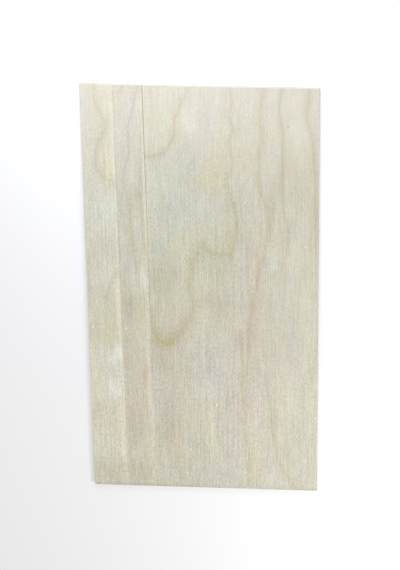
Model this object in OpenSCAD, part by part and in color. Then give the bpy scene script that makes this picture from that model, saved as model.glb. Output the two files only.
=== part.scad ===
// Plywood sheet lying flat with its birch face up.
// Millimetres. X runs across the sheet, +Y along it to the head end, and Z is up.
// The origin is the middle of the underside.

/* [Sheet] */
// Length along the face grain
sheet_length = 2440; // [1200:10:3600]
// Width across the face grain
sheet_width = 1220; // [600:10:1830]
// Thickness
sheet_thickness = 18; // [9:0.5:40]
// Bevel that sanding leaves along each arris
arris = 0.5; // [0.2:0.1:1.5]

/* [Face veneer strips] */
// Width of the outer strip at the head end, from the left edge
outer_strip_head = 167; // [100:1:220]
// Width of the outer strip at the foot end
outer_strip_foot = 188; // [100:1:220]
// Width of the middle strip at the head end
middle_strip_head = 150; // [80:1:200]
// Width of the middle strip at the foot end
middle_strip_foot = 154; // [80:1:200]
// Distance from the head end down to where the middle strip starts
middle_strip_setback = 38; // [10:1:80]

/* [Joints between the strips] */
// Width of a joint at the head of the middle strip, where it is open
joint_gap_head = 0.9; // [0.4:0.1:2]
// Width of a joint at the foot end, where it closes up
joint_gap_foot = 0.4; // [0.2:0.1:2]
// Width of the butt joint across the head of the middle strip
head_joint_gap = 0.5; // [0.3:0.1:2]
// Depth of a joint, down through the face veneer
joint_depth = 1; // [0.5:0.1:1.5]

/* [Hidden] */
wood_colour = [0.82, 0.81, 0.74];

left = -sheet_width / 2;
foot = -sheet_length / 2;
head = sheet_length / 2;

// Cuts run this far past the surface that they open
overcut = 1;
joint_foot = foot - overcut;
strip_start = head - middle_strip_setback;

// A rectangle with its four corners bevelled by the arris
module eased_rectangle(width, height) {
    polygon([
        [arris - width / 2, 0],
        [width / 2 - arris, 0],
        [width / 2, arris],
        [width / 2, height - arris],
        [width / 2 - arris, height],
        [arris - width / 2, height],
        [-width / 2, height - arris],
        [-width / 2, arris]
    ]);
}

// The sawn blank: one section runs along the sheet and the other across it
module sawn_blank() {
    intersection() {
        translate([0, head, 0])
            rotate([90, 0, 0])
                linear_extrude(sheet_length)
                    eased_rectangle(sheet_width, sheet_thickness);
        translate([left, 0, 0])
            rotate([90, 0, 90])
                linear_extrude(sheet_width)
                    eased_rectangle(sheet_length, sheet_thickness);
    }
}

// X of a joint at the place y, on its straight line from the foot end to the head end
function joint_x(at_foot, at_head, y) =
    left + at_foot + (at_head - at_foot) * (y - foot) / sheet_length;

// A groove of the joint's depth, cut in from the face over a flat outline
module face_cut(outline) {
    translate([0, 0, sheet_thickness - joint_depth])
        linear_extrude(joint_depth + overcut)
            polygon(outline);
}

// The joint along one side of the middle strip, open at its head and closing towards the foot
module side_joint(at_foot, at_head) {
    x_foot = joint_x(at_foot, at_head, joint_foot);
    x_head = joint_x(at_foot, at_head, strip_start);
    face_cut([
        [x_foot - joint_gap_foot / 2, joint_foot],
        [x_foot + joint_gap_foot / 2, joint_foot],
        [x_head + joint_gap_head / 2, strip_start],
        [x_head - joint_gap_head / 2, strip_start]
    ]);
}

// The butt joint across the head of the middle strip, from one side joint to the other
module head_joint(from_x, to_x) {
    face_cut([
        [from_x - joint_gap_head / 2, strip_start - head_joint_gap],
        [to_x + joint_gap_head / 2, strip_start - head_joint_gap],
        [to_x + joint_gap_head / 2, strip_start],
        [from_x - joint_gap_head / 2, strip_start]
    ]);
}

module plywood_sheet() {
    inner_foot = outer_strip_foot + middle_strip_foot;
    inner_head = outer_strip_head + middle_strip_head;
    color(wood_colour)
        difference() {
            sawn_blank();
            side_joint(outer_strip_foot, outer_strip_head);
            side_joint(inner_foot, inner_head);
            head_joint(
                joint_x(outer_strip_foot, outer_strip_head, strip_start),
                joint_x(inner_foot, inner_head, strip_start)
            );
        }
}

plywood_sheet();
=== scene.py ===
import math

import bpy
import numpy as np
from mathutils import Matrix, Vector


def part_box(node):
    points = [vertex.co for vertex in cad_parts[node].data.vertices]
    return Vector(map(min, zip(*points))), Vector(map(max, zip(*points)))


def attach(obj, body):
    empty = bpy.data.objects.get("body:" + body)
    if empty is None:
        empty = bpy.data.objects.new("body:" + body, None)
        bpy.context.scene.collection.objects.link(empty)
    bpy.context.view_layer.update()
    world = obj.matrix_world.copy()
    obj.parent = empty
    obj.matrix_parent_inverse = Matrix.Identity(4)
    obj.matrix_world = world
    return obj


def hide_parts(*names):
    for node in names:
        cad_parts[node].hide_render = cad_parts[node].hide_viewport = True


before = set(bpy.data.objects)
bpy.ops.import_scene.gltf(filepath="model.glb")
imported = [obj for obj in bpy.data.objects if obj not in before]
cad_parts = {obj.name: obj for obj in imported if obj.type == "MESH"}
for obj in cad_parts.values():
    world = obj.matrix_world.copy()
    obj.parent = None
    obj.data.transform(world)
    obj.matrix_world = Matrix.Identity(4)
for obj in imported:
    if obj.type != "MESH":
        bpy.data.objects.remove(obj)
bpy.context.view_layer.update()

# A plywood sheet lying face up: strips of birch veneer on the face, the sawn edges of the plies
# under them, and a plain veneer on the back.
# Shapes are worked out in millimetres: "across" is counted from the left edge of the sheet and
# "down" from its head end, as one reads the face. Meshes are made in metres.

SHEET = "plywood_sheet"
low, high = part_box(SHEET)
MM = 0.001
WIDTH = (high.x - low.x) / MM
LENGTH = (high.y - low.y) / MM
THICKNESS = (high.z - low.z) / MM

# The build of the sheet, as in the part's source. Pairs are for the head end and the foot end
ARRIS = 0.5
OUTER_STRIP = (167, 188)
MIDDLE_STRIP = (150, 154)
MIDDLE_STRIP_SETBACK = 38
JOINT_GAP = (0.9, 0.4)
HEAD_JOINT_GAP = 0.5
FACE_VENEER = 1.0
BACK_VENEER = 1.4
INNER_PLIES = 11
PLY = (THICKNESS - FACE_VENEER - BACK_VENEER) / INNER_PLIES

# The outer side of a veneer is a grid with cells of about this size, on the face and on the back
CELL, BACK_CELL = 6, 20
# The grid's own places beside an edge of the sheet and beside a joint
BESIDE_EDGE = (0, 0.25, 0.5)
BESIDE_JOINT = (0, 0.4, 1.4, 2.6, 4)
# The joints open within this length, just above the head of the middle strip
OPENS_WITHIN = 0.2
# How deep the edge of a veneer is worn beside an open joint, and over what width
JOINT_EASE, EASED_WIDTH = 0.15, 0.4
# The depth of the face's shallow waves, and about how wide and long each is
RELIEF, WAVE = 0.06, (14, 180)
# Soft noise is made from knots on lines along the sheet, which lie unevenly apart, in shares of
# their usual distance. So there are more of them than would fit evenly
LINES_APART, MORE_LINES = (0.5, 1.5), 1.3
SPARE_LINES, SPARE_ROWS = 9, 3
# The sawn edge of one ply: shares of its height, and how deep the glue line's groove is there
PLY_PROFILE = [(0, 0.08), (0.1, 0), (0.9, 0)]
# How deep the saw tears the ends of fibres, and fibres that lie along the cut
END_GRAIN_TORN, LONG_GRAIN_TORN = 0.12, 0.04
# The edge between two faces is sharp above this angle
SHARP_ANGLE = math.radians(20)

# The flat map that a piece's finish is laid on. For each side, -X, +X, -Y, +Y, -Z and +Z in
# turn: the axes that run along and up the map, and the side's place on it, from one share of its
# width to another and then of its height. The sides that show get most of the map
STRIP_MAP = [
    (2, 1, 0.000, 0.010, 0.05, 1.00),
    (2, 1, 0.015, 0.025, 0.05, 1.00),
    (0, 2, 0.05, 1.00, 0.000, 0.010),
    (0, 2, 0.05, 1.00, 0.015, 0.025),
    (0, 1, 0.030, 0.045, 0.05, 1.00),
    (0, 1, 0.05, 1.00, 0.05, 1.00),
]
BACK_MAP = [*STRIP_MAP[:4], STRIP_MAP[5], STRIP_MAP[4]]
CORE_MAP = [
    (1, 2, 0.0, 1.0, 0.00, 0.22),
    (1, 2, 0.0, 1.0, 0.24, 0.46),
    (0, 2, 0.0, 1.0, 0.48, 0.70),
    (0, 2, 0.0, 1.0, 0.72, 0.94),
    (1, 0, 0.0, 1.0, 0.95, 0.97),
    (1, 0, 0.0, 1.0, 0.98, 1.00),
]


def linear(*levels):
    """A colour given by its 0 to 255 screen levels, as the linear values that shaders use."""
    shares = [v / 255 for v in levels]
    return tuple(v / 12.92 if v <= 0.04045 else ((v + 0.055) / 1.055) ** 2.4 for v in shares)


# The wood's own colours, before light falls on it
BIRCH = linear(208, 204, 185)
OUTER_BIRCH = linear(213, 210, 191)
BACK_BIRCH = linear(214, 202, 178)
LONG_GRAIN = linear(230, 228, 216)
END_GRAIN = linear(214, 209, 194)
GLUE = linear(178, 167, 148)
# Roughness, how much that varies with the fibres, and the depth of their relief in metres
FACE_SURFACE = (0.62, 0.05, 0.00005)
BACK_SURFACE = (0.66, 0.05, 0.00008)
SAWN_SURFACE = (0.70, 0.10, 0.00012)
WOOD_SHINE = 0.25

# Marks in the wood: width and length in millimetres, detail and strength. First the bands and
# fibres of the grain, then the soft clouds over them
GRAIN_MARKS = [(16, 600, 2, 0.05), (5, 300, 1, 0.08), (4, 80, 1, 0.13), (3.5, 17, 1, 0.22)]
CLOUD_MARKS = [(90, 300, 2, 0.02), (25, 70, 1, 0.03)]
# The finest fibres and the pores, which fade in between these two levels of their noise
FIBRE, FIBRE_STRENGTH = (1.2, 30), 0.04
PORE, PORE_LEVELS, PORE_STRENGTH = (0.7, 9), (0.45, 0.9), 0.04
# Marks of another hue: width, length and detail, what they add to red, green and blue, and how
# far they are moved so as not to match the other marks
HUE_MARK, HUE_CHANGE, HUE_MOVE = (60, 240, 2), (0.008, -0.012, -0.050), (3.0, 0.0, 0.0)
# How streaky the face is at its head end, and what is added to that between two places along an
# axis, in metres
STREAKY = 0.56
STREAKIER = [("Y", 1.1, 0.4, 0.36), ("Y", 0.0, -0.8, 0.2), ("X", 0.2, 0.5, -0.2)]
# Painted shade: the face is darker along its foot end. How wide that shaded rim is, how much darker
# on the right, how much more on the left, and between what places across, in metres, the one
# becomes the other
FOOT_SHADE_WIDTH, FOOT_SHADE_DEPTH, FOOT_SHADE_MORE_LEFT, FOOT_SHADE_CHANGES = 28, 0.06, 0.10, (0.3, -0.3)
# How far each strip's grain is moved, so that the strips don't match
OUTER_LEAF, MIDDLE_LEAF, WIDE_LEAF = (0.0, 0.0, 0.0), (5.0, 3.0, 0.0), (9.0, 1.0, 0.0)
# The back's broad bands: width, length and detail, and the levels of noise that they fade in at
BACK_BAND, BACK_BAND_LEVELS = (60, 2000, 3), (-0.6, 0.8)
# On the sawn edges: fibres and blotches to the metre, how much they show, how far plies differ,
# and the shares of a ply's height where a glue line begins and is full
SAWN_FIBRES, SAWN_BLOTCHES = 900, 35
FIBRES_SHOW, BLOTCHES_SHOW, PLIES_DIFFER = 0.5, 0.25, 0.05
GLUE_LINE = (0.10, 0.03)

# What a ring's dark edge and its warm side add to red, green and blue, and what being olive adds
RING_CORE = (-0.11, -0.125, -0.14)
RING_WARMTH = (0.00, -0.015, -0.045)
OLIVE_CORE = (0.015, 0.01, -0.03)
# On the warm side the dark edge fades over its own width. This is how fast, against that, the
# ring fades on its other side, and the warmth on the warm side
OTHER_SIDE_FADE, WARMTH_FADE = 0.9, 0.3
# Fibres that draw a ring along the grain, and that make it waver: width, length, and how far
RING_DRAWN = [(3, 80, 20), (10, 160, 9)]
RING_WAVER = (5, 60, 2)
# Marks that make a ring stronger and weaker, given as the marks above
RING_VARIES = (50, 140, 2, 0.35)
# Rings begin to fade out at the first of these distances from their lines, and end at the second
RING_FADES, RING_ENDS = 35, 55
CURVE_STEP = 12

# How far fibres draw the patches along and across the grain, and the sizes of those fibres
PATCH_DRAWN = (50, 8)
PATCH_FIBRES = [(11, 260), (60, 200)]
# More than 1 makes a patch more even, with a shorter border
PATCH_FLATNESS = 1.4
# How much the patches' colours are moved away from grey
PATCH_RICHNESS = 0.2

# Small specks on the face: across, down, width, length, tone. Then where a speck begins and where
# it is full, in half widths from its middle
PALE_SPECK, DARK_SPECK = linear(246, 243, 225), linear(165, 154, 134)
OUTER_FLECKS = [(22, 1434, 14, 8, PALE_SPECK)]
MIDDLE_FLECKS = [(198, 1438, 14, 6, PALE_SPECK)]
WIDE_FLECKS = [(678, 1903, 8, 16, PALE_SPECK), (1061, 215, 5, 15, DARK_SPECK)]
SPECK_BORDER = (1.2, 0.7)

# Tints of the wood, as what they add to red, green and blue for an amount of 1
TINTS = {
    "light": (0.08, 0.08, 0.08),
    "dark": (-0.08, -0.08, -0.08),
    "white": (0.07, 0.09, 0.11),
    "cream": (0.10, 0.09, 0.05),
    "pink": (0.08, 0.04, 0.03),
    "green": (0.03, 0.05, 0.00),
    "olive": (-0.03, -0.02, -0.08),
    "tan": (0.00, -0.03, -0.07),
    "brown": (-0.07, -0.11, -0.12),
    "teal": (-0.07, -0.03, -0.01),
    "violet": (0.00, -0.01, 0.05),
    "plum": (-0.07, -0.11, -0.08),
}

# Soft patches of the face by their tint: across, down, half width, half length, amount. Places
# across are given as if each strip were as wide all along as it is at the head end
OUTER_PATCHES = {
    "violet": [(20, 200, 30, 160, 0.8), (105, 1710, 60, 130, 0.8), (40, 360, 50, 120, 0.5)],
    "dark": [
        (100, 250, 60, 160, 0.5), (45, 1030, 50, 60, 0.7), (80, 420, 60, 140, 0.5),
        (56, 1230, 60, 60, 0.4), (137, 910, 25, 60, 0.5), (30, 620, 40, 100, 0.4),
        (110, 450, 60, 130, 0.35),
    ],
    "olive": [
        (80, 1400, 80, 150, 0.4), (60, 150, 40, 100, 0.3), (98, 1470, 21, 70, 1.0),
        (137, 2380, 70, 70, 0.5), (137, 1515, 25, 60, 0.4),
    ],
    "light": [
        (25, 1640, 25, 60, 0.8), (25, 2230, 25, 60, 0.7), (120, 2170, 30, 130, 0.5),
        (22, 1850, 20, 50, 0.6), (100, 1850, 90, 300, 0.5), (55, 1700, 30, 110, 0.4),
    ],
    "pink": [
        (85, 2000, 150, 500, 0.45), (145, 150, 30, 200, 0.45), (154, 950, 10, 100, 1.2),
        (148, 2200, 16, 100, 1.0),
    ],
    "cream": [(122, 440, 45, 110, 0.8), (146, 1280, 12, 160, 0.9), (135, 1980, 18, 100, 1.0)],
    "tan": [
        (122, 440, 45, 110, 0.3), (98, 1470, 21, 70, 1.0), (137, 1330, 30, 180, 0.5),
        (55, 1670, 20, 40, 0.8), (27, 1980, 23, 70, 1.0), (137, 1500, 25, 60, 0.6),
    ],
    "green": [
        (35, 380, 30, 120, 0.8), (42, 1570, 40, 40, 0.7), (101, 1700, 60, 60, 0.4),
        (36, 1790, 32, 70, 1.0),
    ],
    "white": [
        (75, 720, 70, 110, 0.6), (90, 1140, 70, 60, 0.4), (125, 1620, 38, 45, 1.8),
        (118, 1800, 46, 55, 2.0), (45, 2130, 36, 100, 0.6), (148, 2200, 16, 100, 0.8),
        (90, 2170, 27, 60, 0.5),
    ],
    "teal": [(75, 720, 70, 110, 0.6)],
    "plum": [(86, 930, 80, 60, 0.4), (55, 1920, 55, 40, 0.4)],
    "brown": [
        (23, 1480, 25, 50, 0.5), (80, 2330, 90, 60, 0.5), (100, 2390, 120, 60, 0.3),
        (110, 2380, 80, 60, 0.35),
    ],
}
MIDDLE_PATCHES = {
    "dark": [
        (235, 1300, 60, 80, 0.6), (200, 1480, 40, 130, 0.5), (265, 640, 40, 70, 1.0),
        (186, 650, 20, 100, 0.8), (194, 1330, 30, 120, 0.7), (230, 2350, 60, 60, 0.7),
        (217, 1030, 40, 60, 0.4),
    ],
    "olive": [
        (240, 1400, 90, 160, 0.3), (240, 1250, 120, 350, 0.3), (230, 800, 25, 150, 1.0),
        (300, 850, 11, 200, 0.9), (230, 1230, 30, 40, 0.9), (264, 1370, 20, 70, 0.9),
        (226, 2340, 50, 50, 1.0),
    ],
    "pink": [(240, 1900, 150, 600, 0.5), (300, 850, 11, 200, 0.4), (207, 2200, 40, 60, 0.4)],
    "teal": [(240, 600, 120, 550, 0.4), (188, 1530, 20, 50, 0.6), (210, 1810, 30, 50, 0.8)],
    "violet": [
        (240, 250, 60, 250, 0.4), (275, 120, 45, 130, 0.6), (196, 1000, 25, 80, 0.8),
        (216, 1100, 30, 60, 1.0), (277, 1530, 15, 70, 0.9), (215, 430, 45, 80, 0.5),
    ],
    "white": [(290, 1140, 20, 75, 1.9), (225, 1060, 25, 80, 0.5)],
    "brown": [
        (194, 1330, 30, 120, 0.3), (271, 1740, 18, 60, 1.0), (229, 2010, 45, 140, 0.8),
        (240, 2370, 80, 60, 0.4),
    ],
    "plum": [(217, 1640, 40, 60, 0.4)],
    "green": [(280, 915, 25, 70, 0.7)],
}
WIDE_PATCHES = {
    "teal": [
        (500, 650, 350, 500, 0.4), (1100, 1200, 80, 250, 0.2), (470, 700, 110, 110, 0.6),
        (362, 930, 60, 50, 0.9), (507, 2110, 20, 40, 0.7), (444, 2340, 60, 50, 0.4),
        (620, 1640, 110, 150, 0.2), (670, 2370, 110, 60, 0.4),
    ],
    "dark": [
        (400, 1780, 180, 450, 0.2), (750, 120, 200, 150, 0.35), (670, 1400, 50, 60, 0.6),
        (700, 750, 350, 450, 0.6), (1060, 550, 60, 150, 0.5), (470, 1450, 60, 130, 0.5),
        (700, 1020, 70, 60, 0.5), (370, 2110, 50, 80, 0.5), (535, 410, 75, 110, 0.7),
        (975, 640, 40, 120, 1.1), (1130, 600, 60, 130, 0.6), (390, 1120, 80, 120, 1.2),
        (695, 1110, 50, 60, 0.4), (380, 1560, 110, 150, 0.8), (390, 1260, 60, 60, 0.7),
        (376, 1660, 50, 50, 0.9), (1108, 2080, 40, 60, 0.3), (425, 2000, 80, 200, 0.4),
        (1070, 195, 50, 60, 0.4), (382, 440, 50, 70, 0.4), (1070, 480, 110, 120, 0.3),
    ],
    "plum": [
        (900, 1250, 180, 900, 0.15), (1200, 680, 30, 100, 0.5), (440, 720, 20, 40, 0.5),
        (867, 950, 35, 70, 0.7), (358, 1360, 40, 50, 0.4), (794, 1510, 25, 70, 1.4),
        (396, 1850, 60, 110, 0.5), (426, 2020, 60, 60, 0.3), (727, 1880, 18, 60, 1.3),
        (885, 1680, 30, 100, 0.4), (726, 2220, 15, 60, 0.7),
    ],
    "violet": [
        (830, 2120, 280, 450, 0.4), (750, 40, 450, 140, 0.5), (1075, 1700, 50, 250, 0.5),
        (650, 1750, 60, 120, 0.5), (535, 410, 75, 110, 0.2), (640, 230, 60, 130, 0.3),
        (850, 580, 50, 60, 0.3), (1100, 250, 50, 110, 0.4), (470, 700, 110, 110, 0.2),
        (587, 720, 30, 80, 0.7), (806, 1160, 35, 80, 0.8), (1079, 1130, 30, 50, 1.0),
        (805, 1280, 25, 80, 0.5), (620, 1640, 120, 170, 0.7), (783, 1960, 25, 140, 0.7),
        (1094, 1480, 30, 80, 1.2), (777, 2180, 40, 80, 1.0), (679, 2340, 80, 60, 0.9),
        (965, 2300, 30, 120, 0.4), (1138, 2330, 40, 60, 0.7), (1166, 130, 60, 140, 0.5),
    ],
    "pink": [
        (830, 1900, 300, 500, 0.2), (420, 1900, 160, 500, 0.4), (1038, 1640, 30, 60, 0.4),
        (915, 900, 60, 170, 0.4),
    ],
    "olive": [
        (450, 1150, 200, 400, 0.35), (680, 560, 80, 110, 0.4), (750, 860, 60, 180, 0.6),
        (600, 950, 180, 180, 0.4), (380, 1400, 90, 160, 0.3), (408, 330, 60, 50, 0.4),
        (517, 540, 90, 30, 0.9), (638, 560, 30, 30, 1.5), (381, 500, 50, 60, 0.7),
        (686, 900, 70, 50, 0.5), (390, 1120, 80, 120, 0.6), (695, 1110, 50, 60, 0.8),
        (488, 1720, 25, 80, 0.9), (814, 1680, 20, 80, 1.2), (1190, 1640, 30, 80, 0.9),
        (369, 2120, 40, 90, 0.9), (434, 2260, 60, 60, 0.5), (894, 2360, 30, 60, 0.5),
        (382, 1515, 50, 60, 0.5), (920, 855, 60, 120, 0.4),
    ],
    "light": [
        (1210, 1700, 80, 700, 0.3), (1070, 1260, 40, 120, 0.5), (960, 2370, 110, 60, 0.5),
        (1000, 2080, 250, 350, 0.4), (1100, 250, 50, 110, 0.6), (483, 1000, 50, 60, 0.5),
        (1079, 990, 60, 90, 0.8), (884, 1930, 25, 120, 0.6), (578, 2020, 80, 70, 0.3),
        (570, 800, 60, 200, 0.3), (500, 1150, 90, 70, 0.4),
    ],
    "tan": [
        (680, 560, 80, 110, 0.5), (390, 1510, 60, 50, 0.7), (659, 460, 50, 80, 1.0),
        (720, 420, 40, 100, 0.8), (850, 390, 50, 70, 1.0), (1060, 440, 40, 50, 0.9),
        (814, 1850, 18, 130, 1.0), (578, 2020, 80, 70, 0.7), (848, 2320, 20, 80, 0.8),
        (1184, 2080, 20, 60, 0.9),
    ],
    "brown": [
        (895, 1150, 12, 120, 0.5), (678, 1270, 70, 100, 0.9), (866, 1310, 18, 110, 0.8),
        (856, 1450, 25, 60, 0.6), (951, 1800, 25, 80, 0.7), (1028, 1450, 20, 40, 0.5),
    ],
    "green": [
        (380, 190, 60, 100, 0.5), (494, 900, 50, 60, 0.8), (614, 1130, 35, 70, 0.7),
        (998, 1160, 40, 60, 0.8), (1160, 1120, 40, 140, 1.0), (612, 1400, 40, 60, 1.0),
        (530, 1550, 30, 70, 0.6), (1037, 1880, 50, 150, 1.2), (1170, 1450, 40, 200, 0.6),
        (1190, 1850, 30, 120, 1.2), (639, 2090, 40, 90, 1.0), (670, 2220, 60, 60, 0.4),
        (874, 2160, 40, 130, 0.7),
    ],
    "white": [
        (549, 210, 40, 80, 0.9), (978, 1000, 25, 70, 0.9), (600, 1820, 90, 70, 0.7),
        (1129, 1320, 25, 120, 0.5), (1088, 1830, 40, 130, 0.8),
    ],
}

# Narrow bands along the joints: side of the joint, distance to the joint's middle (less than 0 on
# its left), down, half width, half length, tint, amount
JOINT_BANDS = [
    (0, -9, 150, 7, 250, "light", 0.5),
    (0, -8, 550, 6, 300, "light", 0.8),
    (0, -9, 1150, 9, 450, "light", 0.8),
    (0, -12, 1750, 14, 500, "light", 0.8),
    (0, -10, 2200, 10, 400, "pink", 0.8),
    (0, -2, 700, 2, 1100, "dark", 1.6),
    (0, 6, 1750, 8, 550, "dark", 0.8),
    (1, -7, 250, 6, 300, "light", 1.3),
    (1, -8, 700, 7, 300, "light", 1.2),
    (1, -12, 1000, 9, 200, "light", 0.6),
    (1, -13, 1200, 10, 400, "light", 0.7),
    (1, -14, 1800, 12, 500, "light", 0.5),
    (1, -14, 1900, 14, 500, "pink", 0.8),
    (1, -14, 2250, 16, 350, "light", 0.6),
    (1, 0, 40, 2.2, 450, "dark", 5.6),
    (1, 0, 700, 2.2, 500, "dark", 0.8),
    (1, 7, 850, 4, 450, "light", 0.6),
    (1, -2, 1150, 2.5, 350, "dark", 1.0),
    (0, -12, 2380, 15, 130, "light", 0.9),
    (0, 11, 2380, 9, 150, "dark", 0.5),
    (1, -8, 2400, 11, 130, "light", 0.9),
]


def ring(layer, line, warm=1, core=(7, 7), depth=(1, 1), olive=0.0, starts=0, ends=0):
    """A growth ring that comes to the face: the points of its line, the side that it warms (1 on
    the right of a line that runs down), the width of its dark edge and its strength at even
    shares of the line, how olive it is and the lengths over which it fades in and out.
    Rings that lie close have different layers."""
    return {
        "layer": layer, "line": line, "warm": warm, "core": core,
        "depth": depth, "olive": olive, "starts": starts, "ends": ends,
    }


OUTER_RINGS = [
    ring(0, [
        (70, -60), (70, 25), (75, 100), (100, 165), (127, 220), (116, 265), (76, 340), (66, 425),
        (75, 495), (120, 537), (158, 570), (205, 600),
    ], core=(7, 10)),
    ring(1, [
        (200, 1070), (157, 1102), (133, 1138), (117, 1175), (104, 1232), (97, 1290), (95, 1400),
    ], core=(8, 8), depth=(0.9, 0.7), olive=0.3, ends=150),
]
MIDDLE_RINGS = [
    ring(0, [
        (292, -60), (290, 30), (265, 137), (246, 212), (239, 276), (245, 345), (238, 410),
        (216, 474), (210, 538), (218, 608), (227, 666), (241, 825), (251, 967), (264, 1080),
        (262, 1180),
    ], core=(5, 7), depth=(1.1, 0.9), olive=-0.4, ends=150),
    ring(1, [
        (316, 100), (309, 209), (301, 319), (304, 411), (297, 505), (294, 663), (301, 792),
        (313, 946), (335, 1040),
    ], core=(7, 8), depth=(0.8, 1), starts=80),
    ring(1, [
        (215, 15), (197, 35), (176, 74), (150, 110),
    ], core=(4, 4), depth=(0.5, 0.5)),
]
WIDE_RINGS = [
    ring(0, [
        (575, -60), (544, 30), (500, 135), (478, 200), (478, 240), (474, 280), (452, 337),
        (410, 385), (363, 405), (333, 407), (280, 400),
    ], warm=-1, core=(7, 11), depth=(0.9, 1.4)),
    ring(1, [
        (766, -60), (767, 50), (772, 95), (764, 170), (776, 238), (754, 312), (761, 370),
        (774, 416), (768, 476), (749, 536), (751, 590), (770, 660), (784, 720), (796, 800),
        (779, 900), (757, 965), (694, 974), (649, 961), (614, 922), (583, 978), (556, 1070),
        (536, 1167), (548, 1234), (560, 1294), (530, 1381), (486, 1462), (429, 1520), (374, 1507),
        (339, 1435), (300, 1350),
    ], warm=-1, core=(9, 11, 14, 22, 34), depth=(0.9, 1.2), olive=1.0),
    ring(0, [
        (936, -60), (934, 40), (920, 122), (915, 180), (926, 250), (927, 297), (913, 356),
        (910, 433), (904, 516), (912, 581), (930, 640), (953, 729), (963, 825), (949, 892),
        (927, 990), (905, 1106), (888, 1223), (851, 1422), (847, 1650), (847, 1890), (837, 2095),
        (856, 2250), (858, 2307), (880, 2385), (900, 2500),
    ], warm=-1, core=(14, 9), depth=(1, 0.6), olive=0.6),
    ring(1, [
        (1028, -60), (1025, 34), (1017, 104), (1022, 168), (1035, 238), (1035, 303), (1032, 386),
        (1031, 469), (1031, 534), (1033, 612), (1041, 725), (1062, 809), (1056, 918), (1034, 1035),
        (1018, 1121), (1005, 1240),
    ], core=(8, 8), depth=(1.3, 1), ends=250),
    ring(0, [
        (1175, -60), (1170, 25), (1160, 108), (1157, 161), (1167, 213), (1178, 254), (1186, 312),
        (1191, 383), (1196, 437), (1202, 526), (1204, 688), (1207, 882), (1212, 1050),
    ], warm=-1, core=(9, 12), depth=(1, 1.2), ends=200),
    ring(1, [
        (965, 1800), (966, 1860), (969, 1992), (993, 2152), (1004, 2235), (1029, 2294),
        (1053, 2352), (1092, 2404), (1140, 2490),
    ], core=(8, 11), depth=(0.7, 1.1), olive=1.6, starts=150),
]

FLOOR_TONE = linear(253, 253, 253)
FLOOR_ROUGHNESS, FLOOR_SHINE = 0.9, 0.1
FLOOR_REACH = 40

# The camera's place and aim in metres, its roll, and its focal length in pixels of the frame,
# which is FRAME_HEIGHT pixels high. SENSOR is the sensor's own height, in millimetres
CAMERA_PLACE = Vector((1.154, 7.930, 13.663))
CAMERA_AIM = Vector((-0.013, 0.059, 0.018))
CAMERA_ROLL = math.radians(0.956)
FOCAL_PIXELS = 3000
FRAME_HEIGHT = 570
SENSOR = 36

# An even pale sky, a soft lamp beyond the head end and another off the foot's right corner
SKY_STRENGTH = 0.71
HEAD_LAMP = {"place": (-0.1, 2.1, 1.3), "size": 1.0, "power": 20.5, "tone": (0.96, 0.98, 1.12)}
FOOT_LAMP = {"place": (1.9, -2.0, 1.8), "size": 1.0, "power": 26, "tone": (1.0, 1.0, 1.0)}

CHANCE = np.random.default_rng(26)


class Wire:
    """A node's output. Arithmetic on it adds Math nodes, or Vector Math where it is a vector."""

    def __init__(self, finish, socket, vector=False):
        self.finish = finish
        self.socket = socket
        self.vector = vector

    def __add__(self, other):
        return self.finish.join("ADD", self, other)

    def __sub__(self, other):
        return self.finish.join("SUBTRACT", self, other)

    def __rsub__(self, other):
        return self.finish.join("SUBTRACT", other, self)

    def __mul__(self, other):
        return self.finish.join("MULTIPLY", self, other)

    def __truediv__(self, other):
        return self.finish.join("DIVIDE", self, other)

    def __rtruediv__(self, other):
        return self.finish.join("DIVIDE", other, self)

    __radd__ = __add__
    __rmul__ = __mul__

    def part(self, axis):
        """The X, Y or Z of a vector."""
        return self.finish.node("ShaderNodeSeparateXYZ", {}, {"Vector": self}, axis)


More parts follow.
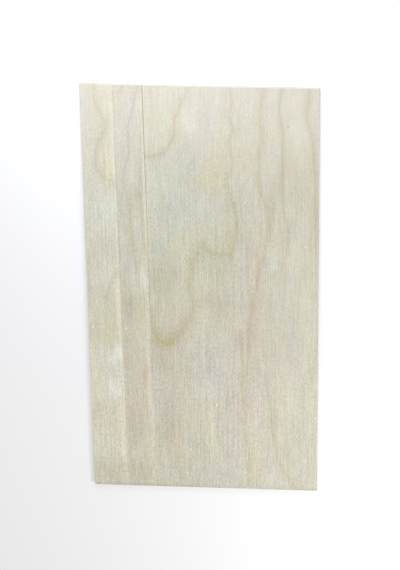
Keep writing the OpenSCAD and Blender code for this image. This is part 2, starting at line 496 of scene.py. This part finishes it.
class Finish:
    """One material and its tree of nodes."""

    def __init__(self, name):
        self.material = bpy.data.materials.new(name)
        self.material.use_nodes = True
        self.tree = self.material.node_tree
        self.tree.nodes.clear()
        self.place = self.node("ShaderNodeTexCoord", {}, {}, "Object", vector=True)

    def node(self, kind, settings, sockets, output=None, vector=False):
        """Adds a node: its settings first, then its sockets' values or links. Gives an output."""
        made = self.tree.nodes.new(kind)
        for name, value in settings.items():
            setattr(made, name, value)
        for name, value in sockets.items():
            if isinstance(value, Wire):
                self.tree.links.new(value.socket, made.inputs[name])
            else:
                made.inputs[name].default_value = value
        return None if output is None else Wire(self, made.outputs[output], vector)

    @staticmethod
    def is_vector(value):
        return value.vector if isinstance(value, Wire) else isinstance(value, tuple)

    def join(self, operation, a, b):
        """a and b through one Math node, or through Vector Math if either is a vector."""
        vectors = self.is_vector(a) + self.is_vector(b)
        if vectors == 0:
            return self.node("ShaderNodeMath", {"operation": operation}, {0: a, 1: b}, 0)
        if vectors == 1 and operation == "MULTIPLY":
            vector, scale = (a, b) if self.is_vector(a) else (b, a)
            sockets = {"Vector": vector, "Scale": scale}
            return self.node("ShaderNodeVectorMath", {"operation": "SCALE"}, sockets, 0, True)
        sides = {i: v if self.is_vector(v) else self.thrice(v) for i, v in enumerate((a, b))}
        return self.node("ShaderNodeVectorMath", {"operation": operation}, sides, 0, True)

    def thrice(self, value):
        """A plain value as a vector of three."""
        if isinstance(value, Wire):
            sockets = {0: value, 1: value, 2: value}
            return self.node("ShaderNodeCombineXYZ", {}, sockets, 0, True)
        return (value, value, value)

    def math(self, operation, value, second=0.0):
        """One Math node of any other kind."""
        return self.node("ShaderNodeMath", {"operation": operation}, {0: value, 1: second}, 0)

    def step(self, value, start, end):
        """0 before start, 1 past end and a soft S between them. start may be the greater one."""
        settings = {"interpolation_type": "SMOOTHSTEP"}
        sockets = {"Value": value, "From Min": start, "From Max": end}
        return self.node("ShaderNodeMapRange", settings, sockets, "Result")

    def blend(self, a, b, mask):
        """Colour a where the mask is 0 and colour b where it is 1."""
        sides = [v if isinstance(v, Wire) else (*v, 1.0) for v in (a, b)]
        sockets = {0: mask, 6: sides[0], 7: sides[1]}
        return self.node("ShaderNodeMix", {"data_type": "RGBA"}, sockets, 2, True)

    def streaks(self, place, wide, long, detail=1):
        """Noise of about -1 to 1, drawn out along the grain: marks of wide by long millimetres."""
        drawn = place * (1 / (wide * MM), 1 / (long * MM), 1 / (wide * MM))
        sockets = {"Vector": drawn, "Scale": 1.0, "Detail": detail, "Roughness": 0.5}
        return (self.node("ShaderNodeTexNoise", {}, sockets, "Fac") - 0.5) * 3.0

    def marks(self, place, kinds):
        """Several kinds of streaks together, each of its own strength."""
        layers = [self.streaks(place, *kind[:3]) * kind[3] for kind in kinds]
        return sum(layers[1:], layers[0])

    def carried(self, name):
        """What the mesh carries at each point under that name: a vector and a fourth value."""
        settings = {"attribute_type": "GEOMETRY", "attribute_name": name}
        vector = self.node("ShaderNodeAttribute", settings, {}, "Vector", vector=True)
        return vector, Wire(self, vector.socket.node.outputs["Alpha"])

    def close(self, colour, fibres, surface):
        """Ends the tree in one wood shader, with the fibres in its roughness and fine relief."""
        roughness, varies, relief = surface
        sockets = {"Height": fibres, "Strength": 1.0, "Distance": relief}
        bump = self.node("ShaderNodeBump", {}, sockets, "Normal", vector=True)
        sockets = {"Base Color": colour, "Roughness": roughness + fibres * varies, "Normal": bump}
        sockets["Specular IOR Level"] = WOOD_SHINE
        wood = self.node("ShaderNodeBsdfPrincipled", {}, sockets, "BSDF")
        self.node("ShaderNodeOutputMaterial", {}, {"Surface": wood})
        return self.material


def smooth_line(points):
    """The points' line as one smooth curve through them, in steps of about CURVE_STEP."""
    given = np.array(points, float)
    ends = [2 * given[0] - given[1], *given, 2 * given[-1] - given[-2]]
    curve = [given[:1]]
    for before, start, end, after in zip(ends, ends[1:], ends[2:], ends[3:]):
        count = max(1, round(float(np.linalg.norm(end - start)) / CURVE_STEP))
        t = (np.arange(1, count + 1) / count)[:, None]
        bend = 2 * before - 5 * start + 4 * end - after
        turn = 3 * (start - end) + after - before
        curve.append(start + t / 2 * ((end - before) + t * (bend + t * turn)))
    return np.concatenate(curve)


def soft_noise(across, down, wide, long):
    """Smooth noise of -1 to 1 at these places, drawn out along the grain, the same in each run."""
    columns, rows = int(WIDTH / wide * MORE_LINES) + SPARE_LINES, int(LENGTH / long) + SPARE_ROWS
    knots = CHANCE.uniform(-1, 1, (columns, rows))
    lines = np.cumsum(CHANCE.uniform(*LINES_APART, columns)) * wide
    u, v = np.interp(across, lines - lines[0], np.arange(columns)), down / long
    i, j = u.astype(int), v.astype(int)
    u, v = u - i, v - j
    u, v = u * u * (3 - 2 * u), v * v * (3 - 2 * v)
    head = knots[i, j] * (1 - u) + knots[i + 1, j] * u
    foot = knots[i, j + 1] * (1 - u) + knots[i + 1, j + 1] * u
    return head * (1 - v) + foot * v


def fade(value, start, end):
    """0 before start, 1 past end and a soft S between them."""
    t = np.clip((value - start) / (end - start), 0, 1)
    return t * t * (3 - 2 * t)


def along_line(share, values):
    """The value at that share of a line, where the values are given at even shares of it."""
    return np.interp(share, np.linspace(0, 1, len(values)), values)


def ring_fields(rings, layer, across, down):
    """What the nearest ring of that layer does at each place: how far the place lies on its warm
    side, how strong it is there, its dark edge's width and how olive it is. Then its lean: how
    much the first of them changes for each millimetre down."""
    nearest = np.full(len(across), float(RING_ENDS))
    fields = np.zeros((len(across), 4))
    fields[:, 0] = RING_ENDS
    fields[:, 2] = 1
    lean = np.zeros(len(across))
    reach = RING_ENDS + CURVE_STEP * 2
    for mark in [r for r in rings if r["layer"] == layer]:
        line = smooth_line(mark["line"])
        lengths = np.linalg.norm(np.diff(line, axis=0), axis=1)
        total = lengths.sum()
        run = 0
        for start, end, length in zip(line, line[1:], lengths):
            ahead = (end - start) / length
            near = (np.abs(down - start[1]) < reach) & (np.abs(across - start[0]) < reach)
            close = np.flatnonzero(near)
            offset = np.stack([across[close], down[close]], 1) - start
            along = np.clip(offset @ ahead, 0, length)
            gap = np.linalg.norm(offset - along[:, None] * ahead, axis=1)
            closer = gap < nearest[close]
            close, offset, along, gap = close[closer], offset[closer], along[closer], gap[closer]
            side = mark["warm"] * np.sign(offset[:, 0] * ahead[1] - offset[:, 1] * ahead[0])
            share = (run + along) / total
            hold = along_line(share, mark["depth"]) * (1 - fade(gap, RING_FADES, RING_ENDS))
            if mark["starts"]:
                hold *= fade(run + along, 0, mark["starts"])
            if mark["ends"]:
                hold *= fade(total - run - along, 0, mark["ends"])
            nearest[close] = gap
            fields[close, 0] = side * gap
            fields[close, 1] = hold
            fields[close, 2] = along_line(share, mark["core"])
            fields[close, 3] = mark["olive"]
            lean[close] = -mark["warm"] * ahead[0]
            run += length
    return fields, lean


def between(pair, down):
    """The value at that distance down, where the pair gives it at the head end and at the foot."""
    return pair[0] + (pair[1] - pair[0]) * down / LENGTH


def joint(side, down):
    """Where a joint's middle lies across: side 0 is left of the middle strip, and 1 right of it."""
    return between(OUTER_STRIP, down) + side * between(MIDDLE_STRIP, down)


def at_head_widths(across, down):
    """Places across, as if each strip were as wide all along as it is at the head end."""
    left, right = joint(0, down), joint(1, down)
    outer = across * OUTER_STRIP[0] / left
    middle = OUTER_STRIP[0] + (across - left) * MIDDLE_STRIP[0] / (right - left)
    edge = joint(1, 0)
    wide = edge + (across - right) * (WIDTH - edge) / (WIDTH - right)
    return np.where(across < left, outer, np.where(across < right, middle, wide))


def patch_colours(patches, across, down):
    """What the colour patches add to red, green and blue at each place, with streaky borders."""
    drawn_down = down + PATCH_DRAWN[0] * soft_noise(across, down, *PATCH_FIBRES[0])
    drawn_across = across + PATCH_DRAWN[1] * soft_noise(across, down, *PATCH_FIBRES[1])
    drawn_across = at_head_widths(drawn_across, down)
    colours = np.zeros((len(across), 3))
    for tint, spots in patches.items():
        for x, y, half_width, half_length, amount in spots:
            away = ((drawn_across - x) / half_width) ** 2 + ((drawn_down - y) / half_length) ** 2
            soft = amount * np.exp(-away ** PATCH_FLATNESS)
            colours += soft[:, None] * np.array(TINTS[tint])
    for side, beside, y, half_width, half_length, tint, amount in JOINT_BANDS:
        away = ((across - joint(side, down) - beside) / half_width) ** 2
        away += ((down - y) / half_length) ** 2
        colours += (amount * np.exp(-away))[:, None] * np.array(TINTS[tint])
    return colours + PATCH_RICHNESS * (colours - colours.mean(1, keepdims=True))


def half_gap(down):
    """Half of a joint's width. Above the middle strip's head the joints are shut."""
    opens = np.clip((down - MIDDLE_STRIP_SETBACK) / OPENS_WITHIN + 1, 0, 1)
    return opens * between(JOINT_GAP, down) / 2


def stations(start, end, beside_start, beside_end, extra=(), cell=CELL):
    """Places from start to end, about a cell apart, with the given ones at either end."""
    first, last = start + beside_start[-1], end - beside_end[-1]
    inner = np.linspace(first, last, round((last - first) / cell) + 1)
    ends = [start + np.array(beside_start[:-1]), end - np.array(beside_end[:-1])]
    return np.unique(np.concatenate([*ends, inner, np.array(extra, float)]).round(4))


def rungs(left, right, head, foot):
    """Faces that close a leaf's open underside, from side to side. They face down."""
    faces = [(*head, right[1], left[1])]
    for i in range(1, len(left) - 2):
        faces.append((left[i], right[i], right[i + 1], left[i + 1]))
    faces.append((left[-2], right[-2], *foot[::-1]))
    return faces


def read_mesh(items, field, width, kind):
    """One field of all of a mesh's points, faces or corners, as rows of that width."""
    values = np.empty(len(items) * width, kind)
    items.foreach_get(field, values)
    return values.reshape(-1, width)


def lay_flat(mesh, flat_map):
    """Lays each side of a mesh on its part of the flat map."""
    places = read_mesh(mesh.vertices, "co", 3, np.float32)
    normals = read_mesh(mesh.polygons, "normal", 3, np.float32)
    counts = read_mesh(mesh.polygons, "loop_total", 1, np.int32)[:, 0]
    point = read_mesh(mesh.loops, "vertex_index", 1, np.int32)[:, 0]
    share = ((places - places.min(0)) / np.ptp(places, axis=0))[point]
    axis = np.abs(normals).argmax(1)
    side = axis * 2 + (normals[np.arange(len(axis)), axis] > 0)
    part = np.array(flat_map)[np.repeat(side, counts)]
    corner = np.arange(len(point))
    along, up = (share[corner, part[:, i].astype(int)] for i in (0, 1))
    spots = [part[:, 2] + along * (part[:, 3] - part[:, 2])]
    spots.append(part[:, 4] + up * (part[:, 5] - part[:, 4]))
    mesh.uv_layers.new(name="OFBake").uv.foreach_set("vector", np.stack(spots, 1).ravel())


def new_piece(name, points, faces, material, flat_map=STRIP_MAP):
    """A closed mesh from points in millimetres across, down and up, riding on the one body."""
    places = points * (MM, -MM, MM) + (low.x, high.y, low.z)
    mesh = bpy.data.meshes.new(name)
    mesh.from_pydata(places.tolist(), [], [[int(i) for i in face] for face in faces])
    mesh.validate()
    mesh.set_sharp_from_angle(angle=SHARP_ANGLE)
    mesh.materials.append(material)
    lay_flat(mesh, flat_map)
    piece = bpy.data.objects.new(name, mesh)
    bpy.context.scene.collection.objects.link(piece)
    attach(piece, "root")
    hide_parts(SHEET)
    return piece


def carry(piece, name, kind, values, domain="POINT"):
    """Stores values on the mesh, for its material to read."""
    field = {"FLOAT_COLOR": "color", "FLOAT_VECTOR": "vector"}[kind]
    attribute = piece.data.attributes.new(name, kind, domain)
    attribute.data.foreach_set(field, np.ascontiguousarray(values, np.float32).ravel())


def leaf(across, down, drop, depth):
    """The points and faces of one leaf of veneer. The grids give its upper side and how far that
    lies below the face, and the leaf is closed depth below the face. Also gives the border."""
    rows, columns = across.shape
    count = rows * columns
    top = np.stack([across, down, THICKNESS - drop], 2).reshape(count, 3)
    at = np.arange(count).reshape(rows, columns)
    quads = np.stack([at[:-1, :-1], at[1:, :-1], at[1:, 1:], at[:-1, 1:]], 2).reshape(-1, 4)
    border = np.concatenate([at[:-1, 0], at[-1, :-1], at[:0:-1, -1], at[0, :0:-1]])
    under = top[border].copy()
    under[:, 2] = THICKNESS - depth
    below = {int(b): count + i for i, b in enumerate(border)}
    around = list(below)
    walls = [(a, below[a], below[b], b) for a, b in zip(around, around[1:] + around[:1])]
    sides = [[below[int(i)] for i in line] for line in (at[:, 0], at[:, -1], at[0], at[-1])]
    faces = [*quads.tolist(), *walls, *rungs(*sides)]
    return np.concatenate([top, under]), faces, border


def edge_drop(distance):
    """How far the arris lies below the face at that distance from an edge of the sheet."""
    return np.maximum(0, ARRIS - distance)


def joint_drop(distance, down):
    """How far the worn edge of a veneer lies below the face, beside an open joint."""
    eased = JOINT_EASE * np.clip(1 - distance / EASED_WIDTH, 0, 1)
    return eased * (half_gap(down) > 0)


def strip_grid(sides, head):
    """A face strip's grid of places across and down, and how far these lie from its two sides."""
    on_edge = head == 0
    beside_head = BESIDE_EDGE if on_edge else BESIDE_JOINT
    opening = (MIDDLE_STRIP_SETBACK - OPENS_WITHIN, MIDDLE_STRIP_SETBACK) if on_edge else ()
    down = stations(head, LENGTH, beside_head, BESIDE_EDGE, opening)
    left, right = np.zeros(len(down)), np.full(len(down), WIDTH)
    if sides[0] is not None:
        left = joint(sides[0], down) + half_gap(down)
    if sides[1] is not None:
        right = joint(sides[1], down) - half_gap(down)
    beside = [BESIDE_EDGE if side is None else BESIDE_JOINT for side in sides]
    row = stations(0, float(np.mean(right - left)), *beside)
    start, end = len(beside[0]) - 1, len(row) - len(beside[1])
    share = np.clip((row - row[start]) / (row[end] - row[start]), 0, 1)
    left, right, down = left[:, None], right[:, None], np.repeat(down[:, None], len(row), 1)
    first, last = left + beside[0][-1], right - beside[1][-1]
    across = first + share * (last - first)
    across[:, :start] = left + row[:start]
    across[:, end + 1:] = right - (row[-1] - row[end + 1:])
    return across, down, (across - left, right - across)


def face_strip(name, sides, head, rings, patches, material):
    """One strip of the face veneer, from the place down where it starts to the foot end. A side
    is 0 or 1 for the joint there, or None for the sheet's own edge."""
    across, down, from_sides = strip_grid(sides, head)
    drop = edge_drop(LENGTH - down)
    drop = np.maximum(drop, edge_drop(down) if head == 0 else joint_drop(down - head, down))
    for side, distance in zip(sides, from_sides):
        drop_there = edge_drop(distance) if side is None else joint_drop(distance, down)
        drop = np.maximum(drop, drop_there)
    inside = np.minimum(fade(from_sides[0], 0, CELL), fade(from_sides[1], 0, CELL))
    inside *= fade(down - head, 0, CELL) * fade(LENGTH - down, 0, CELL)
    waves = 0.5 + 0.5 * soft_noise(across.ravel(), down.ravel(), *WAVE).reshape(across.shape)
    points, faces, border = leaf(across, down, drop + RELIEF * inside * waves, FACE_VENEER)
    piece = new_piece(name, points, faces, material)
    carry_figure(piece, points[:across.size, :2], border, rings, patches)


def carry_figure(piece, places, border, rings, patches):
    """Stores the rings and colour patches on a leaf: on its upper side, and the same below it."""
    across, down = places.T
    leans = []
    for layer, name in enumerate(("ring_a", "ring_b")):
        fields, lean = ring_fields(rings, layer, across, down)
        carry(piece, name, "FLOAT_COLOR", np.concatenate([fields, fields[border]]))
        leans.append(lean)
    lean = np.stack([*leans, np.zeros(len(across))], 1)
    carry(piece, "lean", "FLOAT_VECTOR", np.concatenate([lean, lean[border]]))
    colours = patch_colours(patches, across, down)
    carry(piece, "patch", "FLOAT_VECTOR", np.concatenate([colours, colours[border]]))


def head_strip(material):
    """The short piece of veneer between the strips at the head end, above the middle strip."""
    down = stations(0, MIDDLE_STRIP_SETBACK, BESIDE_EDGE, BESIDE_JOINT)
    share = np.linspace(0, 1, round(MIDDLE_STRIP[0] / CELL) + 1)
    left, right = joint(0, down), joint(1, down)
    across = left[:, None] + share * (right - left)[:, None]
    down = np.repeat(down[:, None], len(share), 1)
    to_joint = MIDDLE_STRIP_SETBACK - down
    drop = np.maximum(edge_drop(down), joint_drop(to_joint, MIDDLE_STRIP_SETBACK))
    points, faces, border = leaf(across, down, drop, FACE_VENEER)
    piece = new_piece("face_head_strip", points, faces, material)
    rings = OUTER_RINGS + MIDDLE_RINGS
    carry_figure(piece, points[:across.size, :2], border, rings, MIDDLE_PATCHES)


def back_veneer(material):
    """The plain veneer of the back: one leaf, made face up and turned over."""
    down = stations(0, LENGTH, BESIDE_EDGE, BESIDE_EDGE, cell=BACK_CELL)
    across = stations(0, WIDTH, BESIDE_EDGE, BESIDE_EDGE, cell=BACK_CELL)
    across, down = np.meshgrid(across, down)
    to_edge = np.minimum(np.minimum(across, WIDTH - across), np.minimum(down, LENGTH - down))
    points, faces, _ = leaf(across, down, edge_drop(to_edge), BACK_VENEER)
    points[:, 0] = WIDTH - points[:, 0]
    points[:, 2] = THICKNESS - points[:, 2]
    new_piece("back_veneer", points, faces, material, BACK_MAP)


def sheet_core(material):
    """The inner plies. Their sawn edges have a groove at each glue line, and ends of fibres that
    the saw has torn a little deeper than it has the fibres along the cut."""
    across, down = stations(0, WIDTH, (0,), (0,)), stations(0, LENGTH, (0,), (0,))
    along_side, along_end = len(down) - 1, len(across) - 1
    x = [np.zeros(along_side), across[:-1], np.full(along_side, WIDTH), across[:0:-1]]
    y = [down[:-1], np.full(along_end, LENGTH), down[:0:-1], np.zeros(along_end)]
    x, y = np.concatenate(x), np.concatenate(y)
    inward = np.stack([(x == 0) * 1 - (x == WIDTH) * 1, (y == 0) * 1 - (y == LENGTH) * 1], 1)
    on_side = (inward[:, 0] != 0) & (np.roll(inward[:, 0], -1) == inward[:, 0])
    count = len(x)
    levels, bands = [], []
    for k in range(INNER_PLIES):
        crossed = k % 2 == 0
        shade = CHANCE.uniform(-1, 1)
        for rise, groove in PLY_PROFILE:
            torn = CHANCE.uniform(0, 1, count)
            torn = (torn + np.roll(torn, 1)) / 2
            cut = np.where(on_side == crossed, END_GRAIN_TORN, LONG_GRAIN_TORN)
            inset = np.maximum(groove, cut * torn)[:, None] * inward
            height = np.full(count, BACK_VENEER + (k + rise) * PLY)
            levels.append(np.stack([x + inset[:, 0], y + inset[:, 1], height], 1))
            bands.append((crossed, shade))
    levels.append(np.stack([x, y, np.full(count, THICKNESS - FACE_VENEER)], 1))
    after = np.roll(np.arange(count), -1)
    faces, plies = [], []
    for level, (crossed, shade) in enumerate(bands):
        base = level * count
        for i in range(count):
            faces.append((base + count + i, base + i, base + after[i], base + count + after[i]))
            plies.append((float(on_side[i] == crossed), shade, 0))
    turns = np.cumsum([along_side, along_end, along_side])
    around = [*range(count), 0]
    left, foot = around[:turns[0] + 1], around[turns[0]:turns[1] + 1]
    right, head = around[turns[1]:turns[2] + 1][::-1], around[turns[2]:][::-1]
    closing = rungs(left, right, head, foot)
    faces += closing
    top = len(bands) * count
    faces += [tuple(top + i for i in face[::-1]) for face in closing]
    plies += [(0, 0, 0)] * (2 * len(closing))
    piece = new_piece("sheet_core", np.concatenate(levels), faces, material, CORE_MAP)
    carry(piece, "ply", "FLOAT_VECTOR", plies, "FACE")


def grain(wood, place, streaky):
    """The brightness that the grain gives, and its fine fibres alone."""
    coarse = wood.marks(place, GRAIN_MARKS)
    fine = wood.streaks(place, *FIBRE)
    pores = wood.step(wood.streaks(place, *PORE), *PORE_LEVELS)
    return 1 + coarse * streaky + fine * FIBRE_STRENGTH - pores * PORE_STRENGTH, fine


def ring_tint(wood, place, name, axis):
    """What the rings of one layer add to red, green and blue."""
    fine, broad = (wood.streaks(place, wide, long) * far for wide, long, far in RING_DRAWN)
    waver = wood.streaks(place, *RING_WAVER[:2]) * RING_WAVER[2]
    ring_field, olive = wood.carried(name)
    into = ring_field.part("X") + wood.carried("lean")[0].part(axis) * (fine + broad) + waver
    share = into / ring_field.part("Z")
    inside, outside = wood.math("MAXIMUM", share, 0.0), wood.math("MINIMUM", share, 0.0)
    outside = outside * OTHER_SIDE_FADE
    strength = (wood.marks(place, [RING_VARIES]) + 1) * ring_field.part("Y")
    core = wood.math("EXPONENT", outside - inside) * strength
    warmth = wood.math("EXPONENT", outside - inside * WARMTH_FADE) * strength
    return core * (olive * OLIVE_CORE + RING_CORE) + warmth * RING_WARMTH


def speck(wood, colour, across, down, width, length, tone):
    """The colour with one small speck of another in it."""
    middle = (low.x + across * MM, high.y - down * MM, high.z)
    away = (wood.place - middle) * (2 / (width * MM), 2 / (length * MM), 0.0)
    distance = wood.node("ShaderNodeVectorMath", {"operation": "LENGTH"}, {0: away}, "Value")
    return wood.blend(colour, tone, wood.step(distance, *SPECK_BORDER))


def strip_veneer(name, tone, leaf_move, flecks):
    """Sanded birch, with the rings and patches that its strip carries, and painted shade along the
    sheet's foot end.
    """
    wood = Finish(name)
    place = wood.place + leaf_move
    tint = wood.carried("patch")[0]
    tint += ring_tint(wood, place, "ring_a", "X")
    tint += ring_tint(wood, place, "ring_b", "Y")
    streaky = STREAKY
    for axis, start, end, more in STREAKIER:
        streaky += wood.step(wood.place.part(axis), start, end) * more
    brightness, fine = grain(wood, place, streaky)
    # Painted shade: the colour darkens along the foot end of the face, more on the left
    painted_foot_shade = wood.step(wood.place.part("Y"), low.y + FOOT_SHADE_WIDTH * MM, low.y)
    painted_foot_shade *= wood.step(wood.place.part("X"), *FOOT_SHADE_CHANGES) * FOOT_SHADE_MORE_LEFT + FOOT_SHADE_DEPTH
    cloud = wood.marks(place, CLOUD_MARKS)
    hue = wood.streaks(place + HUE_MOVE, *HUE_MARK) * HUE_CHANGE
    colour = (hue + tint + 1.0) * tone * (brightness + cloud - painted_foot_shade)
    for fleck in flecks:
        colour = speck(wood, colour, *fleck)
    return wood.close(colour, fine, FACE_SURFACE)


def back_finish():
    """The plainer birch of the back: straight grain in a few broad bands."""
    wood = Finish("back birch veneer")
    brightness, fine = grain(wood, wood.place, 1.0)
    bands = wood.step(wood.streaks(wood.place, *BACK_BAND), *BACK_BAND_LEVELS)
    tone = wood.blend(BACK_BIRCH, BIRCH, bands)
    return wood.close(tone * brightness, fine, BACK_SURFACE)


def sawn_plies():
    """Sawn edges: pale long grain and darker end grain in turn, with thin glue lines between."""
    wood = Finish("sawn birch plies")
    marks = wood.carried("ply")[0]
    fibres, blotches = (
        wood.node("ShaderNodeTexNoise", {}, {"Vector": wood.place, "Scale": scale}, "Fac")
        for scale in (SAWN_FIBRES, SAWN_BLOTCHES)
    )
    share = wood.math("FRACT", (wood.place.part("Z") / MM - BACK_VENEER) / PLY)
    to_glue = wood.math("MINIMUM", share, 1 - share)
    tone = wood.blend(LONG_GRAIN, END_GRAIN, marks.part("X"))
    shade = 1 + marks.part("Y") * PLIES_DIFFER
    shade += (fibres - 0.5) * FIBRES_SHOW + (blotches - 0.5) * BLOTCHES_SHOW
    tone = wood.blend(tone * shade, GLUE, wood.step(to_glue, *GLUE_LINE))
    return wood.close(tone, fibres, SAWN_SURFACE)


def pale_floor():
    """A wide plain floor just under the sheet."""
    paint = Finish("pale floor")
    sockets = {"Base Color": (*FLOOR_TONE, 1.0), "Roughness": FLOOR_ROUGHNESS}
    sockets["Specular IOR Level"] = FLOOR_SHINE
    shader = paint.node("ShaderNodeBsdfPrincipled", {}, sockets, "BSDF")
    paint.node("ShaderNodeOutputMaterial", {}, {"Surface": shader})
    mesh = bpy.data.meshes.new("floor")
    signs = [(-1, -1), (1, -1), (1, 1), (-1, 1)]
    corners = [(x * FLOOR_REACH, y * FLOOR_REACH, low.z) for x, y in signs]
    mesh.from_pydata(corners, [], [(0, 1, 2, 3)])
    mesh.materials.append(paint.material)
    floor = bpy.data.objects.new("floor", mesh)
    bpy.context.scene.collection.objects.link(floor)


def set_camera():
    """The photo's view: from beyond the head end, with that end at the top of the frame."""
    lens = bpy.data.cameras.new("camera")
    lens.sensor_width = SENSOR
    lens.lens = FOCAL_PIXELS / FRAME_HEIGHT * SENSOR
    camera = bpy.data.objects.new("camera", lens)
    bpy.context.scene.collection.objects.link(camera)
    ahead = (CAMERA_AIM - CAMERA_PLACE).normalized()
    side = ahead.cross(Vector((0, 1, 0))).normalized()
    up = side.cross(ahead) * math.cos(CAMERA_ROLL) + side * math.sin(CAMERA_ROLL)
    turn = Matrix((ahead.cross(up), up, -ahead)).transposed()
    camera.matrix_world = Matrix.Translation(CAMERA_PLACE) @ turn.to_4x4()
    bpy.context.scene.camera = camera


def set_light():
    """The even sky, and the soft lamps, which face the middle of the sheet."""
    world = bpy.data.worlds.new("studio")
    world.use_nodes = True
    sky = world.node_tree.nodes["Background"]
    sky.inputs["Color"].default_value = (1.0, 1.0, 1.0, 1.0)
    sky.inputs["Strength"].default_value = SKY_STRENGTH
    bpy.context.scene.world = world
    for name, lamp in (("head_lamp", HEAD_LAMP), ("foot_lamp", FOOT_LAMP)):
        light = bpy.data.lights.new(name, "AREA")
        light.size = lamp["size"]
        light.energy = lamp["power"]
        light.color = lamp["tone"]
        stand = bpy.data.objects.new(name, light)
        stand.location = lamp["place"]
        stand.rotation_mode = "QUATERNION"
        stand.rotation_quaternion = (-stand.location).to_track_quat("-Z", "Y")
        stand.visible_camera = False
        bpy.context.scene.collection.objects.link(stand)
    bpy.context.scene.view_settings.view_transform = "Standard"


def make_sheet():
    """All of the sheet: the face in its strips, the core and the back."""
    outer = strip_veneer("outer strip veneer", OUTER_BIRCH, OUTER_LEAF, OUTER_FLECKS)
    middle = strip_veneer("middle strip veneer", BIRCH, MIDDLE_LEAF, MIDDLE_FLECKS)
    wide = strip_veneer("wide strip veneer", BIRCH, WIDE_LEAF, WIDE_FLECKS)
    face_strip("face_outer_strip", (None, 0), 0, OUTER_RINGS, OUTER_PATCHES, outer)
    start = MIDDLE_STRIP_SETBACK + HEAD_JOINT_GAP
    face_strip("face_middle_strip", (0, 1), start, MIDDLE_RINGS, MIDDLE_PATCHES, middle)
    face_strip("face_wide_strip", (1, None), 0, WIDE_RINGS, WIDE_PATCHES, wide)
    head_strip(middle)
    sheet_core(sawn_plies())
    back_veneer(back_finish())


make_sheet()
pale_floor()
set_camera()
set_light()

bpy.context.view_layer.update()
